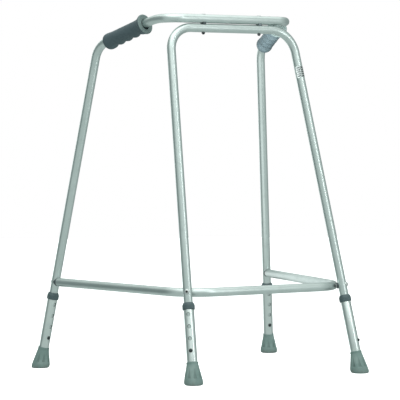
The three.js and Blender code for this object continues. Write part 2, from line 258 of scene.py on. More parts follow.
def vinyl():
    s = gripFinish
    look = Look("grip_vinyl", specular=0.42)
    skin = look.place()
    above, beside, run = look.parts(look.place(attribute="tubeSpace"))
    pebbles = look.step(look.cells(skin, s["grain"]), 0.15, 0.75)
    mottled = look.cloud(skin, 9, 4, 0.6)
    cast = look.cloud(skin, 34, 2)
    polish = look.step(above, s["palm"], s["palm"] + 4) * look.step(mottled, 0.3, 0.7)
    # painted light: the lower side of the grip, from 10 mm below its axis, is tinted lighter as if lit
    # from below
    paintedUnderLight = look.step(0 - above, 10, 17) * (1 - look.step(cast, 0.4, 0.75))
    seam = 1 - look.step(abs(above + 2), 0.12, 0.45)
    # painted reflection: the flange's front rim and sunk face are tinted lighter
    rimReflection = look.step(run, 118.6, 119.1)
    colour = look.tint(mottled, s["deep"], s["face"])
    colour = look.tint(paintedUnderLight * 0.35, colour, s["underLightTone"])
    colour = look.tint(polish * 0.35, colour, s["face"])
    colour = look.tint(rimReflection * 0.9, colour, s["rim"])
    roughness = 0.60 - polish * 0.2 + mottled * 0.1 + paintedUnderLight * 0.1
    height = mottled * 0.5 - pebbles * 0.8 * (1 - polish * 0.6) + seam * 1.2 + cast * 0.2
    return look.paint(colour, roughness, height, 0.05, strength=0.7)


# injection-moulded plastic, scuffed on its outer faces
def plastic(name, deep, face, size):
    look = Look(name, specular=0.45)
    skin = look.place()
    mottled = look.cloud(skin, size, 4, 0.6)
    texture = look.cloud(skin, 0.35, 2)
    scuffs = look.step(look.cloud(look.place((1, 1, 0.3)), 1.3, 4, 0.72), 0.6, 0.72)
    scuffs = scuffs * look.step(look.cloud(skin, size * 1.6, 2), 0.45, 0.65)
    colour = look.tint(mottled, deep, face)
    colour = look.tint(scuffs * 0.45, colour, tuple(1.9 * c for c in face))
    roughness = 0.40 + mottled * 0.12 + scuffs * 0.2
    return look.paint(colour, roughness, texture * 0.6 - scuffs * 0.5, 0.05, strength=0.6)


# grey-green ferrule rubber with chalky bloom, floor dirt near the sole, scrapes and painted shade in the
# flutes
rubberFinish = {
    "deep": (0.135, 0.200, 0.187), "face": (0.195, 0.280, 0.262), "bloom": (0.300, 0.380, 0.360),
    "dirt": (0.150, 0.152, 0.138), "dirtHeight": 15.0,
}


def rubber():
    s = rubberFinish
    look = Look("ferrule_rubber", specular=0.32)
    skin = look.place()
    height = look.parts(skin)[2]
    mottled = look.cloud(skin, 7, 5, 0.65)
    cast = look.cloud(skin, 26, 2)
    pores = 1 - look.step(look.cells(skin, 1.5), 0.06, 0.2)
    grimeAndShade = (1 - look.step(height, 0.5, s["dirtHeight"])) * look.step(mottled, 0.38, 0.62)
    scrapes = look.step(look.cloud(look.place((0.5, 0.5, 2.2)), 2.6, 4, 0.72), 0.63, 0.73)
    scrapes = scrapes * (1 - look.step(height, 8, 30))
    sunk = look.parts(look.place(attribute="fluteSpace"))[0]
    colour = look.tint(mottled, s["deep"], s["face"])
    colour = look.tint(look.step(cast, 0.45, 0.75) * 0.45, colour, s["bloom"])
    colour = look.tint(grimeAndShade * 0.55, colour, s["dirt"])
    colour = look.tint(scrapes * 0.4, colour, s["bloom"])
    # painted shade: the flutes are tinted darker than the rubber around them
    colour = look.tint(sunk * 0.32, colour, tuple(0.4 * c for c in s["deep"]))
    roughness = 0.62 + mottled * 0.18 + scrapes * 0.12
    relief = mottled * 0.6 - pores * 0.5 - scrapes * 0.6
    return look.paint(colour, roughness, relief, 0.12, strength=0.7)


# plated or blackened hardware, worn back to bright metal in spots
def hardware(name, deep, face, bare, gloss):
    look = Look(name, metallic=0.9)
    skin = look.place()
    mottled = look.cloud(skin, 2.4, 5, 0.65)
    machined = look.cloud(look.place((6, 6, 1)), 0.9, 2)
    worn = look.step(look.cloud(skin, 3.2, 4, 0.7), 0.6, 0.72)
    colour = look.tint(mottled, deep, face)
    colour = look.tint(worn * 0.5, colour, bare)
    grimeAndShade = look.parts(look.place(attribute="paintedShadeSpace"))[0]
    # painted shade: the floor of each bolt's hex socket is tinted near black
    colour = look.tint(grimeAndShade * 0.95, colour, (0.02, 0.022, 0.022))
    roughness = gloss + mottled * 0.16 + machined * 0.05 - worn * 0.05
    return look.paint(colour, roughness, machined * 0.5 + mottled * 0.4, 0.03, strength=0.6)


# blank sticker: off-white film with a plain printed border, a little yellowed and rubbed
labelShape = {
    "reach": 0.35, "film": 0.22, "arc": 2.2, "height": 26.0, "distance": 662.0, "steps": 36,
    "facing": (-0.2, -1, 0), "corner": 2.4, "border": 1.2, "line": 0.5,
    "barPitch": 4.6, "bar": 2.3, "margin": 2.4, "gutter": 0.9, "rows": 44,
}


def labelFilm():
    s = labelShape
    look = Look("label_film", specular=0.4)
    skin = look.place()
    across, up, rim = look.parts(look.place(attribute="labelSpace"))
    mottled = look.cloud(skin, 6, 4, 0.6)
    rubbed = look.step(look.cloud(skin, 2.2, 5, 0.7), 0.58, 0.7)
    line = look.step(rim, s["border"], s["border"] + 0.15)
    line = line * (1 - look.step(rim, s["border"] + s["line"], s["border"] + s["line"] + 0.15))
    colour = look.tint(mottled, (0.21, 0.24, 0.235), (0.27, 0.305, 0.295))
    wave = look.combine("PINGPONG", up + s["barPitch"] * 10, s["barPitch"] / 2)
    bars = 1 - look.step(wave, s["bar"] / 2 - 0.1, s["bar"] / 2 + 0.1)
    bars = bars * look.step(rim, s["margin"], s["margin"] + 0.2)
    bars = bars * look.step(abs(across), s["gutter"], s["gutter"] + 0.2)
    colour = look.tint(line * 0.7, colour, (0.07, 0.09, 0.095))
    colour = look.tint(bars * 0.9, colour, (0.018, 0.024, 0.026))
    colour = look.tint(rubbed * 0.25, colour, (0.30, 0.31, 0.28))
    return look.paint(colour, 0.34 + mottled * 0.1 + rubbed * 0.2, mottled - rubbed * 0.4, 0.03)


looks = {
    "aluminium": anodised("frame"),
    "leg_aluminium": anodised("leg"),
    "grip_vinyl": vinyl(),
    "collar_plastic": plastic("collar_plastic", (0.050, 0.080, 0.087), (0.090, 0.132, 0.140), 8),
    "ferrule_rubber": rubber(),
    "dark_plastic": plastic("dark_plastic", (0.042, 0.056, 0.060), (0.080, 0.100, 0.106), 6),
    "blackened_steel": hardware("blackened_steel", (0.034, 0.040, 0.043), (0.075, 0.084, 0.088),
                                (0.28, 0.29, 0.29), 0.30),
    "bright_steel": hardware("bright_steel", (0.46, 0.50, 0.49), (0.66, 0.69, 0.68),
                             (0.80, 0.82, 0.81), 0.20),
    "label_film": labelFilm(),
}
print("materials made,", len(looks))


def freshMesh(attribute=None):
    bm = bmesh.new()
    if attribute:
        bm.verts.layers.float_vector.new(attribute)
    return bm


# closed outline of new vertices left by an extrude or a spin
def ringOf(geometry):
    verts = {part for part in geometry if isinstance(part, bmesh.types.BMVert)}
    edges = {edge for vert in verts for edge in vert.link_edges if edge.other_vert(vert) in verts}
    return list(verts), list(edges)


def markRing(bm, verts, place, run):
    layer = bm.verts.layers.float_vector.get("tubeSpace")
    back = place.inverted()
    for vert in verts:
        local = back @ vert.co
        vert[layer] = (local.x, local.y, run)


def firstRing(bm, radius, count, place):
    made = bmesh.ops.create_circle(bm, segments=count, radius=radius, cap_ends=False, matrix=place)
    verts, edges = ringOf(made["verts"])
    markRing(bm, verts, place, 0)
    return edges


def pushRing(bm, edges, shift):
    verts, edges = ringOf(bmesh.ops.extrude_edge_only(bm, edges=edges)["geom"])
    bmesh.ops.translate(bm, verts=verts, vec=shift)
    return verts, edges


# tube skin through the corners, each inner corner rounded to its radius; returns both end rings
def sweepSkin(bm, corners, bends, radius, count, bendSteps, lean):
    headings = [(b - a).normalized() for a, b in zip(corners, corners[1:])]
    place = stand(corners[0], headings[0], lean)
    run = 0
    start = edges = firstRing(bm, radius, count, place)
    for index, corner in enumerate(corners[1:]):
        before = headings[index]
        turn = before.angle(headings[index + 1]) if index < len(bends) else 0
        setback = bends[index] * math.tan(turn / 2) if turn else 0
        straight = (corner - place.translation).dot(before) - setback
        verts, edges = pushRing(bm, edges, before * straight)
        place = Matrix.Translation(before * straight) @ place
        run += straight
        markRing(bm, verts, place, run)
        if not turn:
            continue
        axis = before.cross(headings[index + 1]).normalized()
        centre = place.translation + axis.cross(before) * bends[index]
        steps = max(2, round(bendSteps * turn))
        swing = Matrix.Translation(centre) @ Matrix.Rotation(turn / steps, 4, axis)
        swing = swing @ Matrix.Translation(-centre)
        for _ in range(steps):
            made = bmesh.ops.spin(bm, geom=verts + edges, cent=centre, axis=axis, dvec=(0, 0, 0),
                                  angle=turn / steps, steps=1, use_merge=False)
            verts, edges = ringOf(made["geom_last"])
            place = swing @ place
            run += bends[index] * turn / steps
            markRing(bm, verts, place, run)
    return start, edges


rimEase = 0.35     # bevel on the rims of every cut tube


# hollow tube with both ends closed by a ring and their rims eased
def hollowTube(corners, bends, radius, bore, count, bendSteps, lean=(1, 0, 0)):
    bm = freshMesh("tubeSpace")
    outer = sweepSkin(bm, corners, bends, radius, count, bendSteps, lean)
    inner = sweepSkin(bm, corners, bends, bore, count, bendSteps, lean)
    rims = [edge for ring in (*outer, *inner) for edge in ring]
    for outside, inside in zip(outer, inner):
        bmesh.ops.bridge_loops(bm, edges=outside + inside)
    bmesh.ops.bevel(bm, geom=rims, offset=rimEase, segments=2, profile=0.5, affect="EDGES",
                    material=-1)
    return bm


# solid turned about its own Z from (radius, height) points
def turned(points, count, place=None, closed=False):
    bm = bmesh.new()
    verts = [bm.verts.new((radius, 0, height)) for radius, height in points]
    edges = [bm.edges.new(pair) for pair in zip(verts, verts[1:])]
    if closed:
        edges.append(bm.edges.new((verts[-1], verts[0])))
    bmesh.ops.spin(bm, geom=verts + edges, cent=(0, 0, 0), axis=(0, 0, 1), dvec=(0, 0, 0),
                   angle=math.tau, steps=count, use_merge=True)
    bmesh.ops.remove_doubles(bm, verts=bm.verts, dist=0.001)
    bmesh.ops.recalc_face_normals(bm, faces=bm.faces)
    if place:
        bmesh.ops.transform(bm, matrix=place, verts=bm.verts)
    return bm


def rod(start, end, radius, count):
    length = (Vector(end) - Vector(start)).length
    lean = (0, 1, 0) if abs((Vector(end) - Vector(start)).normalized().x) > 0.9 else (1, 0, 0)
    place = stand(start, Vector(end) - Vector(start), lean) @ Matrix.Translation((0, 0, length / 2))
    bm = bmesh.new()
    bmesh.ops.create_cone(bm, cap_ends=True, segments=count, radius1=radius, radius2=radius,
                          depth=length, matrix=place)
    return bm


easeAngle = 30     # degrees: flatter edges are left as they are


def easeEdges(bm, offset, segments=2):
    limit = math.radians(easeAngle)
    sharp = [edge for edge in bm.edges if edge.is_manifold and edge.calc_face_angle() > limit]
    bmesh.ops.bevel(bm, geom=sharp, offset=offset, segments=segments, profile=0.5,
                    affect="EDGES", material=-1, clamp_overlap=True)


def joined(*shapes):
    whole = bmesh.new()
    for shape in shapes:
        mesh = bpy.data.meshes.new("joining")
        shape.to_mesh(mesh)
        shape.free()
        whole.from_mesh(mesh)
        bpy.data.meshes.remove(mesh)
    return whole


# cut, or keep what is common with, each tool in turn
def carved(bm, tools, operation="DIFFERENCE"):
    for tool in tools:
        blanks = []
        for shape in (bm, tool):
            mesh = bpy.data.meshes.new("blank")
            shape.to_mesh(mesh)
            shape.free()
            blanks.append(bpy.data.objects.new("blank", mesh))
            scene.collection.objects.link(blanks[-1])
        body, cutter = blanks
        modifier = body.modifiers.new("carve", "BOOLEAN")
        modifier.object = cutter
        modifier.operation = operation
        modifier.solver = "EXACT"
        bpy.context.view_layer.update()
        result = body.evaluated_get(bpy.context.evaluated_depsgraph_get())
        bm = bmesh.new()
        bm.from_mesh(result.to_mesh())
        for blank in blanks:
            bpy.data.meshes.remove(blank.data)
    return bm


def makePiece(name, bm, slotName, body, nodes, sharp=32):
    bmesh.ops.scale(bm, vec=(mm, mm, mm), verts=bm.verts)
    bmesh.ops.recalc_face_normals(bm, faces=bm.faces)
    mesh = bpy.data.meshes.new(name)
    bm.to_mesh(mesh)
    bm.free()
    mesh.shade_smooth()
    mesh.set_sharp_from_angle(angle=math.radians(sharp))
    mesh.materials.append(looks[slotName])
    piece = bpy.data.objects.new(name, mesh)
    scene.collection.objects.link(piece)
    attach(piece, body)
    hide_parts(*nodes)
    return piece


# the skeleton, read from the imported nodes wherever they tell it
tube = {
    "radius": 9.525, "bore": 8.1, "count": 64, "bendSteps": 22,
    "handleRearZ": 716.5, "handleFront": (163.0, -25.0), "railCornerX": 147.9,
    "frontBend": 56.0, "handleBend": 44.0, "riseBend": 115.0, "railBend": 35.0,
    "braceFrontZ": 187.0, "braceRearZ": 193.2, "braceBend": 80.0, "braceGap": 2.2,
    "innerEnd": 56.0,
}


def atHeight(foot, up, height):
    return foot + up * (height / up.z)


legs = {}
for end in ("front", "rear"):
    for sideName in sides:
        legName = f"{end}_{sideName}"
        legs[legName] = {
            "foot": soles[f"sole_{legName}"],
            "up": -jointAxes[f"leg_slide_{legName}"].normalized(),
            "out": -jointAxes[f"button_press_{legName}"].normalized(),
        }

frontLeg, rearLeg = legs["front_right"], legs["rear_right"]
railBolt = sum(boxOf("rail_bolt_right"), Vector()) / 2
lowerRailZ = boxOf("front_tube")[1].z - tube["radius"]
upperRailZ = boxOf("handle_tube")[1].z - tube["radius"]
frontCorner = atHeight(frontLeg["foot"], frontLeg["up"], lowerRailZ)
handleRear = atHeight(rearLeg["foot"], rearLeg["up"], tube["handleRearZ"])
handleFront = Vector((*tube["handleFront"], upperRailZ))
railCorner = Vector((tube["railCornerX"], frontCorner.y, upperRailZ))
braceCorner = atHeight(frontLeg["foot"], frontLeg["up"], tube["braceFrontZ"])
rearJoint = atHeight(rearLeg["foot"], rearLeg["up"], tube["braceRearZ"])
braceSide = (braceCorner - rearJoint).normalized()
braceEnd = rearJoint + braceSide * (tube["radius"] + tube["braceGap"])


# left end to right end through the mirrored corners
def acrossBoth(points):
    return [mirrored(point, -1) for point in points] + [point.copy() for point in reversed(points)]


def makeFrameTubes():
    t = tube
    rearStart = rearLeg["foot"] + rearLeg["up"] * t["innerEnd"]
    frontStart = frontLeg["foot"] + frontLeg["up"] * t["innerEnd"]
    upper = acrossBoth([rearStart, handleRear, handleFront, railCorner])
    upperBends = [t["handleBend"], t["riseBend"], t["railBend"]]
    plans = {
        "handle_tube": (upper, upperBends + upperBends[::-1]),
        "front_tube": (acrossBoth([frontStart, frontCorner]), [t["frontBend"]] * 2),
        "brace_tube": (acrossBoth([braceEnd, braceCorner]), [t["braceBend"]] * 2),
    }
    for node, (corners, bends) in plans.items():
        bm = hollowTube(corners, bends, t["radius"], t["bore"], t["count"], t["bendSteps"])
        makePiece(f"{node}_drawn", bm, "aluminium", "frame", [node])


# lower leg: outer tube with its row of height holes
legShape = {
    "radius": 11.1, "bore": 9.82, "start": 11.2, "end": 170.5, "count": 72,
    "firstHole": 71.0, "pitch": 25.4, "holes": 4, "holeRadius": 3.6, "holeRim": 0.45, "holeCount": 40,
    # distances from the leg's axis at which the drill and the countersink start and stop
    "drill": (5, 20), "lip": (9, 12.05),
    "lipIn": 0.6, "lipOut": 1,
}


def makeLowerLeg(legName, leg):
    s = legShape
    foot, up, out = leg["foot"], leg["up"], leg["out"]
    ends = [foot + up * s["start"], foot + up * s["end"]]
    bm = hollowTube(ends, [], s["radius"], s["bore"], s["count"], 1, out)
    bmesh.ops.recalc_face_normals(bm, faces=bm.faces)
    low, high = s["lip"]
    lip = [(0, low), (s["holeRadius"] - s["lipIn"], low),
           (s["holeRadius"] + s["holeRim"] + s["lipOut"], high), (0, high)]
    drills = []
    countersinks = []     # these break the sharp rims of the holes
    for index in range(s["holes"]):
        centre = foot + up * (s["firstHole"] + index * s["pitch"])
        start, stop = (centre + out * distance for distance in s["drill"])
        drills.append(rod(start, stop, s["holeRadius"], s["holeCount"]))
        countersinks.append(turned(lip, s["holeCount"], stand(centre, out, up)))
    bm = carved(bm, [joined(*drills), joined(*countersinks)])
    # painted shade darkens the walls of the holes
    layer = bm.verts.layers.float_vector.new("paintedShadeSpace")
    for vert in bm.verts:
        local = vert.co - foot
        index = round((local.dot(up) - s["firstHole"]) / s["pitch"])
        centre = up * (s["firstHole"] + index * s["pitch"])
        offset = (local - centre) - out * (local - centre).dot(out)
        inHole = offset.length < s["holeRadius"] + 0.1 and local.dot(out) > s["drill"][0]
        vert[layer] = (1 if inHole and 0 <= index < s["holes"] else 0, 0, 0)
    makePiece(f"lower_leg_{legName}_drawn", bm, "leg_aluminium", f"leg_{legName}",
              [f"lower_leg_{legName}"], 38)


# moulded collar at the top of each lower leg, ribbed round its band
collarShape = {
    "start": 157.7, "count": 192, "ribs": 48, "ribDepth": 0.38, "band": (2.0, 9.3),
    "profile": [(9.85, 15), (9.85, 13.2), (11.5, 12.9), (11.5, 0.05), (12.1, 0.0), (12.75, 0.5),
                (13.1, 1.3), (13.2, 2.2), (13.2, 2.7), (13.2, 8.7), (13.2, 9.2), (13.0, 10.0),
                (12.4, 11.4), (11.6, 13.4), (11.2, 14.4), (10.9, 14.85), (10.5, 15)],
}


def makeCollar(legName, leg):
    s = collarShape
    bm = turned(s["profile"], s["count"], closed=True)
    low, high = s["band"]
    for vert in bm.verts:
        radius = vert.co.xy.length
        if radius > 12.9 and low < vert.co.z < high:
            angle = math.atan2(vert.co.y, vert.co.x)
            groove = (0.5 - 0.5 * math.cos(angle * s["ribs"])) ** 2
            vert.co.xy *= 1 - s["ribDepth"] * groove / radius
    place = stand(leg["foot"] + leg["up"] * s["start"], leg["up"], leg["out"])
    bmesh.ops.transform(bm, matrix=place, verts=bm.verts)
    makePiece(f"collar_{legName}_moulded", bm, "collar_plastic", f"leg_{legName}",
              [f"collar_{legName}"], 50)


# rubber ferrule: fluted cone with a level, grooved sole and a socket along the leg
ferruleShape = {
    "outer": [(15.9, 0), (17.3, 0.35), (18.6, 1.2), (19.5, 2.5), (19.95, 4.4), (20, 7.2), (19.6, 10),
              (18.8, 14), (17.2, 21.5), (14.5, 33.5), (13.0, 40.5), (12.6, 42.6), (12.3, 43.3),
              (12.35, 43.7), (12.6, 44.3), (12.65, 46.6), (12.45, 47.5), (11.9, 48)],
    "socket": [(11.5, 47.8), (11.5, 8.8), (0, 8.8)],
    "sole": [(0, 0), (5.2, 0), (5.5, 1.1), (7.6, 1.1), (7.9, 0), (10.4, 0), (10.7, 1.1), (12.8, 1.1),
             (13.1, 0)],
    # flutes widen downwards from a point and end at a ledge above the skirt
    "flutes": 8, "depth": 1.8, "ledge": 14.0, "point": 35.0, "count": 200, "spacing": 1.1,
    "levelFrom": 4.0, "levelTo": 44.0,
}


def smoothStep(value, low, high):
    t = min(max((value - low) / (high - low), 0), 1)
    return t * t * (3 - 2 * t)


def refined(points, spacing):
    fine = [points[0]]
    for (r0, h0), (r1, h1) in zip(points, points[1:]):
        cuts = max(1, round(math.hypot(r1 - r0, h1 - h0) / spacing))
        fine += [(r0 + (r1 - r0) * k / cuts, h0 + (h1 - h0) * k / cuts) for k in range(1, cuts + 1)]
    return fine


def makeFerrule(legName, leg):
    s = ferruleShape
    up, foot = leg["up"], leg["foot"]
    bm = turned(s["sole"] + refined(s["outer"], s["spacing"]) + s["socket"], s["count"])
    layer = bm.verts.layers.float_vector.new("fluteSpace")
    for vert in bm.verts:
        radius, height = vert.co.xy.length, vert.co.z
        if radius > 12 and s["ledge"] < height < s["point"]:
            phase = math.atan2(vert.co.y, vert.co.x) / math.tau * s["flutes"] % 1
            rise = (height - s["ledge"]) / (s["point"] - s["ledge"])
            reach = 0.05 + 0.20 * (1 - rise)
            groove = smoothStep(abs(phase - 0.5), reach + 0.07, reach - 0.05)
            ends = smoothStep(height, s["ledge"], s["ledge"] + 1.4) * (1 - rise) ** 0.5
            # the groove depth is kept for the painted shade in the flutes
            vert[layer] = (groove * ends, 0, 0)
            vert.co.xy *= 1 - s["depth"] * groove * ends / radius
    bmesh.ops.transform(bm, matrix=stand((0, 0, 0), up, leg["out"]), verts=bm.verts)
    for vert in bm.verts:
        height = vert.co.dot(up)
        radial = vert.co - up * height
        inSocket = radial.length < 11.6 and height > 5
        level = 0 if inSocket else 1 - smoothStep(height, s["levelFrom"], s["levelTo"])
        vert.co = vert.co - up * (radial.z / up.z * level)
    bmesh.ops.translate(bm, verts=bm.verts, vec=foot)
    makePiece(f"ferrule_{legName}_moulded", bm, "ferrule_rubber", f"leg_{legName}",
              [f"ferrule_{legName}"], 42)


# domed snap button standing in the lowest hole
buttonShape = {
    "profile": [(0, 7.4), (3.0, 7.4), (3.2, 7.6), (3.2, 11.7), (3.1, 12.3), (2.8, 12.9), (2.3, 13.4),
                (1.6, 13.72), (0.8, 13.87), (0, 13.9)],
}


def makeButton(legName, leg):
    seat = leg["foot"] + leg["up"] * legShape["firstHole"]
    bm = turned(buttonShape["profile"], 40, stand(seat, leg["out"], leg["up"]))
    makePiece(f"snap_button_{legName}_domed", bm, "blackened_steel", f"button_{legName}",
              [f"snap_button_{legName}"], 50)


# hand grip: pebbled barrel, thicker underneath, finger hollows, bulb at the rear, flange in front
gripShape = {
    "start": 29.0, "length": 120.0, "bore": 9.9, "count": 96, "spacing": 1.0,
    "grooveStart": 16.0, "grooveEnd": 108.0, "grooves": 4, "grooveDepth": 3.2,
    "twist": 0.45,     # how far the finger side turns inward as it hangs down
    # distance, radius, drop of the section below the tube's axis
    "core": [(0, 12.6, 0.7), (0.7, 14.3, 0.9), (2.5, 16.4, 1.3), (4.5, 17.6, 1.6), (7, 18.3, 1.9),
             (10, 18.6, 2.0), (16, 18.3, 2.1), (21, 17.8, 2.0), (27, 17.5, 2.0), (94, 17.5, 2.0),
             (101, 17.8, 1.8), (106, 18.4, 1.5), (110, 19.4, 1.1), (113, 20.6, 0.8),
             (115.5, 21.8, 0.6), (117, 22.3, 0.6), (118.5, 22.3, 0.6), (119.5, 21.9, 0.6),
             (120, 20.9, 0.6)],
    # sunk face of the flange: distance, radius, drop; its last rings open into a pocket below the tube
    "mouth": [(120, 19.2, 0.6), (119.6, 18.4, 0.6), (119.4, 17.6, 0.6), (119.3, 11.0, 0.1),
              (118.9, 10.4, 0), (112, 10.2, 0), (111.5, 10.0, 0)],
    "pocket": 2.8,
}


def gripSection(distance):
    core = gripShape["core"]
    for (d0, r0, drop0), (d1, r1, drop1) in zip(core, core[1:]):
        if distance <= d1 + 1e-6:
            t = (distance - d0) / (d1 - d0)
            return r0 + (r1 - r0) * t, drop0 + (drop1 - drop0) * t
    return core[-1][1:]


def makeGrip(sideName, side):
    s = gripShape
    start, heading = mirrored(handleRear, side), mirrored(handleFront - handleRear, side).normalized()
    count = round(s["length"] / s["spacing"])
    stops = {distance for distance, *_ in s["core"]} | {s["length"] * k / count for k in range(count)}
    rings = [(distance, *gripSection(distance)) for distance in sorted(stops)]
    barrel = len(rings)
    rings += s["mouth"] + [(0.3, s["bore"], 0), (0, s["bore"] + 0.3, 0)]
    bm = freshMesh("tubeSpace")
    first = edges = firstRing(bm, 1, s["count"], Matrix())
    for _ in rings[1:]:
        edges = pushRing(bm, edges, Vector((0, 0, 1)))[1]
    bmesh.ops.bridge_loops(bm, edges=first + edges)
    layer = bm.verts.layers.float_vector["tubeSpace"]
    for vert in bm.verts:
        ring = round(vert.co.z)
        distance, radius, drop = rings[ring]
        phase = (distance - s["grooveStart"]) / (s["grooveEnd"] - s["grooveStart"])
        if ring < barrel and 0 < phase < 1:
            hollow = s["grooveDepth"] * math.sin(math.pi * s["grooves"] * phase) ** 2
            radius -= hollow * max(0, -vert.co.x) ** 1.5
        if distance < s["mouth"][2][0] and s["bore"] + 0.2 < radius < 12:
            radius += s["pocket"] * max(0, -vert.co.x) ** 3
        vert.co = (vert.co.x * radius - drop, vert.co.y * radius, distance)
        vert[layer] = vert.co
    place = stand(start + heading * s["start"], heading, (side * s["twist"], 0, 1))
    bmesh.ops.transform(bm, matrix=place, verts=bm.verts)
    makePiece(f"grip_{sideName}_moulded", bm, "grip_vinyl", "frame", [f"grip_{sideName}"], 50)


# fasteners: low domed socket bolts, closed-end nuts, saddles, shims and plugs
fastenerShapes = {
    "rail": {"shank": 2.0, "head": 4.6, "crown": 1.2, "skirt": 1.3, "socket": 1.5, "sunk": 1.2,
             "nut": 3.9, "nutHeight": 4.6},
    "brace": {"shank": 3.0, "head": 5.7, "crown": 2.8, "skirt": 2.2, "socket": 2.8, "sunk": 2.4,
              "nut": 5.8, "nutHeight": 8.4},
    "seat": 0.1,       # how far heads and nuts stand off their tube
    "domeSteps": 9,
}


def makeBolt(kind, node, seat, direction, length):
    s = fastenerShapes[kind]
    steps = fastenerShapes["domeSteps"]
    arc = [math.pi / 2 * k / steps for k in range(steps + 1)]
    dome = [(s["head"] * math.sin(t), -s["crown"] * math.cos(t)) for t in arc]
    head = turned(dome + [(s["head"], s["skirt"]), (0, s["skirt"])], 56)
    socket = rod((0, 0, -s["crown"] - 1), (0, 0, s["sunk"] - s["crown"]), s["socket"], 6)
    shank = turned([(0, 0.2), (s["shank"], 0.2), (s["shank"], length - 0.7),
                    (s["shank"] - 0.7, length), (0, length)], 32)
    head = carved(head, [socket])
    # the floor of the hex socket is marked for painted shade
    layer = head.verts.layers.float_vector.new("paintedShadeSpace")
    for vert in head.verts:
        onFloor = abs(vert.co.z - s["sunk"] + s["crown"]) < 0.05 and vert.co.xy.length < s["socket"] + 0.1
        vert[layer] = (1 if onFloor else 0, 0, 0)
    bm = joined(head, shank)
    bmesh.ops.transform(bm, matrix=stand(seat, direction), verts=bm.verts)
    makePiece(f"{node}_domed", bm, "bright_steel", "frame", [node], 40)


def makeNut(kind, node, seat, direction):
    s = fastenerShapes[kind]
    radius, height = s["nut"], s["nutHeight"]
    hexagon = rod((0, 0, 0), (0, 0, 0.48 * height), radius, 6)
    easeEdges(hexagon, 0.08 * radius)
    crown = turned([(0, 0.3 * height), (0.8 * radius, 0.3 * height), (0.79 * radius, 0.6 * height),
                    (0.70 * radius, 0.78 * height), (0.5 * radius, 0.91 * height),
                    (0.26 * radius, 0.98 * height), (0, height)], 40)
    bm = joined(hexagon, crown)
    bmesh.ops.transform(bm, matrix=stand(seat, direction), verts=bm.verts)
    makePiece(f"{node}_domed", bm, "blackened_steel", "frame", [node], 40)


railJoint = {"spareThread": 3, "saddle": 9, "ease": 0.7, "toolReach": 20, "clearance": 0.15}


def makeRailFasteners(sideName, side):
    s = railJoint
    standOff = tube["radius"] + fastenerShapes["seat"]
    centre = Vector((railBolt.x * side, railBolt.y, 0))
    head = centre + Vector((0, 0, upperRailZ + standOff))
    nut = centre + Vector((0, 0, lowerRailZ - standOff))
    down = (0, 0, -1)
    makeBolt("rail", f"rail_bolt_{sideName}", head, down, head.z - nut.z + s["spareThread"])
    makeNut("rail", f"rail_nut_{sideName}", nut, down)
    node = f"rail_saddle_{sideName}"
    low, high = boxOf(node)
    middle = (low + high) / 2
    middle.z = (lowerRailZ + upperRailZ) / 2
    block = bmesh.new()
    bmesh.ops.create_cube(block, size=1)
    bmesh.ops.scale(block, vec=(high.x - low.x, high.y - low.y, s["saddle"]), verts=block.verts)
    bmesh.ops.translate(block, vec=middle, verts=block.verts)
    easeEdges(block, s["ease"], 3)
    reach = Vector((s["toolReach"], 0, 0))
    channels = []
    for height in (lowerRailZ, upperRailZ):
        axis = Vector((middle.x, railBolt.y, height))
        channels.append(rod(axis - reach, axis + reach, tube["radius"] + s["clearance"], 96))
    makePiece(f"{node}_moulded", carved(block, channels), "dark_plastic", "frame", [node])


braceJoint = {
    "frontBoltZ": 190.0, "nutGap": 0.6, "spareThread": 5.0, "shim": (-8.0, 6.0), "shimWall": 3.3,
    "shimRadius": 7.6, "shimEase": 0.6, "shimSpan": 5, "clearance": 0.25, "rearBoltLength": 36.0,
    "toolReach": 30,
    "plug": [(0, 3), (9.4, 3), (9.4, 11.0), (9.1, 11.425), (7.6, 11.425), (7.6, 31.3), (6.9, 32),
             (0, 32)],
}


def makeFrontJoint(sideName, side):
    s = braceJoint
    standOff = tube["radius"] + fastenerShapes["seat"]
    up = legs[f"front_{sideName}"]["up"]
    leg = atHeight(legs[f"front_{sideName}"]["foot"], up, s["frontBoltZ"])
    turn = braceSide.angle(Vector((-1, 0, 0)))
    inset = tube["braceBend"] * (1 / math.cos(turn / 2) - 1)
    apex = mirrored(braceCorner + (Vector((-1, 0, 0)) - braceSide).normalized() * inset, side)
    inward = (apex - leg).normalized()
    reach = (apex - leg).length
    head = leg - inward * standOff
    nut = leg + inward * (reach + tube["radius"] + s["nutGap"])
    makeBolt("brace", f"brace_bolt_front_{sideName}", head, inward, (nut - head).length + s["spareThread"])
    makeNut("brace", f"brace_nut_front_{sideName}", nut, inward)
    node = f"brace_saddle_front_{sideName}"
    low, high = s["shim"]
    shim = rod(leg + up * low, leg + up * high, tube["radius"] + s["shimWall"], 96)
    easeEdges(shim, s["shimEase"])
    core = rod(leg + inward * s["shimSpan"], leg + inward * (reach - s["shimSpan"]), s["shimRadius"], 64)
    shim = carved(shim, [core], "INTERSECT")
    along = up * s["toolReach"]
    across = inward.cross(Vector((0, 0, 1))).normalized() * s["toolReach"]
    shim = carved(shim, [
        rod(leg - along, leg + along, tube["radius"] + s["clearance"], 96),
        rod(apex - across, apex + across, tube["radius"] + s["clearance"], 96),
    ])
    makePiece(f"{node}_moulded", shim, "dark_plastic", "frame", [node])


def makeRearJoint(sideName, side):
    s = braceJoint
    leg, inward = mirrored(rearJoint, side), mirrored(braceSide, side)
    up = legs[f"rear_{sideName}"]["up"]
    head = leg - inward * (tube["radius"] + fastenerShapes["seat"])
    makeBolt("brace", f"brace_bolt_rear_{sideName}", head, inward, s["rearBoltLength"])
    node = f"brace_plug_rear_{sideName}"
    plug = turned(s["plug"], 64, stand(leg, inward))
    along = up * s["toolReach"]
    plug = carved(plug, [rod(leg - along, leg + along, tube["radius"] + s["clearance"], 96)])
    makePiece(f"{node}_moulded", plug, "dark_plastic", "frame", [node])


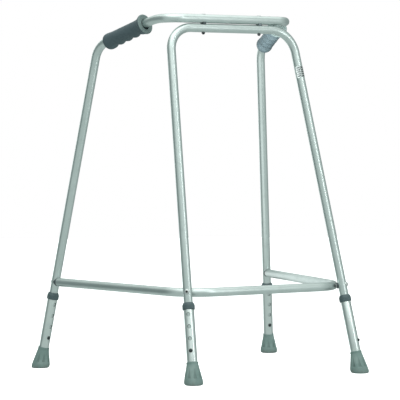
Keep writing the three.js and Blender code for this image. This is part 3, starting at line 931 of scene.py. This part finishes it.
def makeLabel():
    s = labelShape
    radius = tube["radius"] + s["reach"]
    bm = freshMesh("labelSpace")
    start = Matrix.Rotation(-s["arc"] / 2, 4, "Z") @ Vector((radius, 0, 0))
    low = bm.verts.new(start)
    high = bm.verts.new(start + Vector((0, 0, s["height"])))
    edge = bm.edges.new((low, high))
    bmesh.ops.subdivide_edges(bm, edges=[edge], cuts=s["rows"])
    bmesh.ops.spin(bm, geom=bm.verts[:] + bm.edges[:], cent=(0, 0, 0), axis=(0, 0, 1),
                   dvec=(0, 0, 0), angle=s["arc"], steps=s["steps"], use_merge=False)
    layer = bm.verts.layers.float_vector["labelSpace"]
    halfWidth, halfHeight = s["arc"] / 2 * radius, s["height"] / 2
    for vert in bm.verts:
        across = math.atan2(vert.co.y, vert.co.x) * radius
        inCorner = max(0, abs(across) - halfWidth + s["corner"])
        lost = s["corner"] - math.sqrt(max(0, s["corner"] ** 2 - inCorner ** 2))
        rise = (vert.co.z - halfHeight) * (1 - lost / halfHeight)
        vert.co.z = rise + halfHeight
        vert[layer] = (across, rise, min(halfWidth - abs(across), halfHeight - abs(rise)))
    shell = bmesh.ops.extrude_face_region(bm, geom=bm.faces[:])["geom"]
    for vert in ringOf(shell)[0]:
        vert.co.xy *= 1 - s["film"] / radius
    foot, up = frontLeg["foot"], frontLeg["up"]
    bmesh.ops.transform(bm, matrix=stand(foot + up * s["distance"], up, s["facing"]), verts=bm.verts)
    makePiece("blank_label_film", bm, "label_film", "frame", ["blank_label"], 40)


# floor, lights and world
studio = {
    "floorRadius": 9.0, "floorGlow": 0.66, "floorGrain": 240,
    "floorTones": ((0.88, 0.89, 0.89), (0.92, 0.92, 0.92)),
    "room": (0.60, 0.68, 0.66),
    # direction, where its lobe starts and is full as a cosine, and its tone
    "lobes": [
        ((-0.69, 0.73, 0), 0.70, 0.93, (0.21, 0.26, 0.255)),
        ((0.92, 0.38, 0), 0.45, 0.90, (0.36, 0.41, 0.40)),
        ((0.05, 1.00, 0), 0.82, 0.95, (1.25, 1.34, 1.32)),
        ((0, 0, 1), 0.35, 0.90, (0.68, 0.75, 0.72)),
        ((-0.30, -0.45, 0.84), 0.75, 0.83, (1.45, 1.53, 1.50)),
        ((0, 0, -1), 0.30, 0.80, (0.60, 0.68, 0.66)),
    ],
    # place, target, width and height of the panel, brightness, whether metal mirrors it
    "panels": {
        "key": ((0.67, -2.30, 1.05), (0, 0, 0.45), 0.36, 2.1, 4.0, True),
        "top": ((0, 0.2, 2.7), (0, 0, 0), 3.2, 3.2, 0.75, True),
        "inner": ((-0.02, -0.08, 0.64), (0.20, 0.06, 0.73), 0.25, 0.25, 9.0, False),
        "lift": ((0.05, 0.10, 0.42), (0.29, 0.31, 0.42), 0.30, 0.70, 0.45, True),
    },
}


def makeStudio():
    s = studio
    bm = bmesh.new()
    bmesh.ops.create_circle(bm, cap_ends=True, segments=96, radius=s["floorRadius"])
    mesh = bpy.data.meshes.new("floor")
    bm.to_mesh(mesh)
    bm.free()
    floor = bpy.data.objects.new("floor", mesh)
    scene.collection.objects.link(floor)
    # low enough to clear a leg slid all the way out
    floor.location.z = -travel["leg_slide_front_left"]
    look = Look("pale_floor", specular=0.2)
    grain = look.cloud(look.place(), s["floorGrain"], 3)
    pale = look.tint(grain, *s["floorTones"])
    look.feed(look.shader.inputs["Emission Color"], (1, 1, 1, 1))
    look.shader.inputs["Emission Strength"].default_value = s["floorGlow"]
    mesh.materials.append(look.paint(pale, 0.7, grain, 0.05))
    floor.visible_glossy = False
    floor.visible_diffuse = False
    for name, (place, target, width, height, brightness, mirrors) in s["panels"].items():
        data = bpy.data.lights.new(name, "AREA")
        data.shape = "RECTANGLE"
        data.size, data.size_y = width, height
        data.energy = brightness * math.pi * width * height
        panel = bpy.data.objects.new(name, data)
        scene.collection.objects.link(panel)
        aim = (Vector(target) - Vector(place)).to_track_quat("-Z", "Y").to_matrix().to_4x4()
        panel.matrix_world = Matrix.Translation(place) @ aim
        panel.visible_camera = False
        panel.visible_glossy = mirrors
    world = bpy.data.worlds.new("studio")
    scene.world = world
    world.use_nodes = True
    room = Wiring(world.node_tree)
    direction = room.node("ShaderNodeTexCoord", {}, {}).outputs["Generated"]
    tone = s["room"]
    for towards, start, full, lobeTone in s["lobes"]:
        dot = room.node("ShaderNodeVectorMath", {"operation": "DOT_PRODUCT"}, {0: direction, 1: towards})
        tone = room.tint(room.step(dot.outputs["Value"], start, full), tone, lobeTone)
    felt = room.node("ShaderNodeBackground", {}, {"Color": tone})
    backdrop = room.tree.nodes["Background"]
    room.feed(backdrop.inputs["Color"], (1, 1, 1, 1))
    rays = room.node("ShaderNodeLightPath", {}, {})
    seen = room.node("ShaderNodeMixShader", {}, {0: rays.outputs["Is Camera Ray"], 1: felt.outputs[0],
                                                 2: backdrop.outputs[0]})
    room.feed(room.tree.nodes["World Output"].inputs["Surface"], seen.outputs[0])
    scene.view_settings.view_transform = "Standard"


makeCamera()
makeStudio()
print("camera, floor and lights set")
makeFrameTubes()
print("frame tubes drawn and bent")
for legName, leg in legs.items():
    makeLowerLeg(legName, leg)
    makeCollar(legName, leg)
    makeFerrule(legName, leg)
    makeButton(legName, leg)
print("lower legs, collars, ferrules and buttons made")
for sideName, side in sides.items():
    makeGrip(sideName, side)
    makeRailFasteners(sideName, side)
    makeFrontJoint(sideName, side)
    makeRearJoint(sideName, side)
makeLabel()
print("grips, fasteners and label made")

# hidden pieces that keep their shape: the leaf springs and the discs inside the ferrules
for legName in legs:
    for node in (f"button_spring_{legName}", f"ferrule_disc_{legName}"):
        carried = bpy.data.objects[node]
        for carriedSlot in carried.material_slots:
            carriedSlot.material = looks["bright_steel"]
